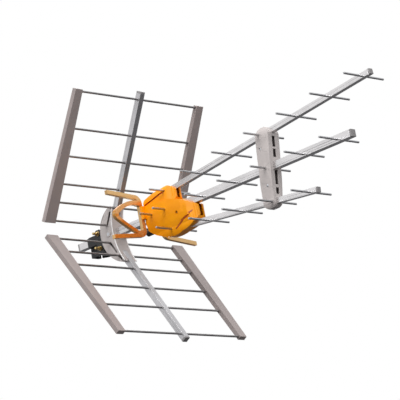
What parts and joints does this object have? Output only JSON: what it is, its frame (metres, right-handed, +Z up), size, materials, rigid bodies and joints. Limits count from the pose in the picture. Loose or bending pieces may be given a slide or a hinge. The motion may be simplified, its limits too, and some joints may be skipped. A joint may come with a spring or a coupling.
{
  "type": "yagi antenna",
  "caption": "UHF television yagi antenna with fanned director booms, open dipole, plastic balun body, corner reflector panels and a tilting mast clamp.",
  "frame": {"origin": "on the axis of the mast that the clamp holds, level with the rods of the middle boom", "axes": "+X is the beam direction (along the main boom, away from the reflector), +Z is up along the mast, +Y is to the left seen from behind"},
  "size_m": [1.1052, 0.532, 0.7152],
  "materials": {
    "orange_plastic": "glossy moulded ABS",
    "grey_plastic": "satin moulded nylon",
    "cover_plastic": "satin moulded plastic",
    "cap_plastic": "satin moulded plastic",
    "boom_aluminium": "drawn, satin",
    "director_aluminium": "drawn, satin",
    "reflector_tube": "drawn, satin",
    "reflector_rod": "drawn, satin",
    "dipole_aluminium": "pressed, bright, gold tinted film",
    "black_plastic": "moulded glass-filled nylon",
    "yellow_zinc": "yellow zinc passivated steel",
    "black_steel": "black powder coat",
    "zinc_steel": "bright zinc",
    "circuit_board": "solder mask",
    "tin_plate": "tinned",
    "nickel_brass": "nickel plated"
  },
  "bodies": {
    "mast_mount": {"mast_saddle": "black_steel", "jaw_pin": "zinc_steel", "clamp_washers": "yellow_zinc"},
    "antenna": {"balun_board": "circuit_board", "body_left_shell": "orange_plastic", "body_right_shell": "orange_plastic", "body_screw": "zinc_steel", "bracket_bolt": "zinc_steel", "bracket_left_shell": "grey_plastic", "bracket_right_shell": "grey_plastic", "clamp_sleeve": "black_plastic", "coax_inlet": "nickel_brass", "dipole_director": "director_aluminium", "dipole_screws": "zinc_steel", "left_dipole": "dipole_aluminium", "lower_boom": "boom_aluminium", "lower_boom_cap": "cap_plastic", "lower_directors": "director_aluminium", "main_boom": "boom_aluminium", "middle_boom_cap": "cap_plastic", "middle_directors": "director_aluminium", "right_dipole": "dipole_aluminium", "shield_can": "tin_plate", "strut_left_shell": "grey_plastic", "strut_right_shell": "grey_plastic", "strut_screws": "zinc_steel", "tail_cap": "cap_plastic", "tilt_plates": "black_steel", "upper_boom": "boom_aluminium", "upper_boom_cap": "cap_plastic", "upper_directors": "director_aluminium", "weather_boot": "black_plastic"},
    "upper_panel": {"upper_left_cover": "cover_plastic", "upper_mast_cap": "cap_plastic", "upper_reflector_mast": "reflector_tube", "upper_reflector_rods": "reflector_rod", "upper_right_cover": "cover_plastic"},
    "lower_panel": {"lower_left_cover": "cover_plastic", "lower_mast_cap": "cap_plastic", "lower_reflector_mast": "reflector_tube", "lower_reflector_rods": "reflector_rod", "lower_right_cover": "cover_plastic"},
    "jaw": {"mast_jaw": "black_steel"},
    "bolts": {"clamp_bolts": "yellow_zinc"},
    "upper_nut": {"upper_wing_nut": "yellow_zinc"},
    "lower_nut": {"lower_wing_nut": "yellow_zinc"}
  },
  "joints": [
    {"name": "elevation_tilt", "type": "hinge", "parent": "mast_mount", "child": "antenna", "pos_m": [0.029, -0.0385, 0.0165], "axis": [0, -1, 0], "range_deg": [-8, 8]},
    {"name": "upper_panel_slide", "type": "slide", "parent": "antenna", "child": "upper_panel", "axis": [0.5, 0, 0.866], "range_m": [0, 0.03]},
    {"name": "lower_panel_slide", "type": "slide", "parent": "antenna", "child": "lower_panel", "axis": [0.5, 0, -0.866], "range_m": [0, 0.03]},
    {"name": "jaw_hinge", "type": "hinge", "parent": "mast_mount", "child": "jaw", "pos_m": [-0.03, 0, 0], "axis": [0, 0, 1], "range_deg": [0, 8]},
    {"name": "bolt_slide", "type": "slide", "parent": "mast_mount", "child": "bolts", "axis": [0, 1, 0], "range_m": [0, 0.0095]},
    {"name": "upper_nut_spin", "type": "hinge", "parent": "mast_mount", "child": "upper_nut", "pos_m": [0.029, -0.0585, 0.0165], "axis": [0, 1, 0], "continuous": true},
    {"name": "lower_nut_spin", "type": "hinge", "parent": "mast_mount", "child": "lower_nut", "pos_m": [0.029, -0.0585, -0.0255], "axis": [0, 1, 0], "continuous": true}
  ],
  "couplings": [
    {"joint": "bolt_slide", "follows": "jaw_hinge", "m_per_rad": 0.067}
  ]
}
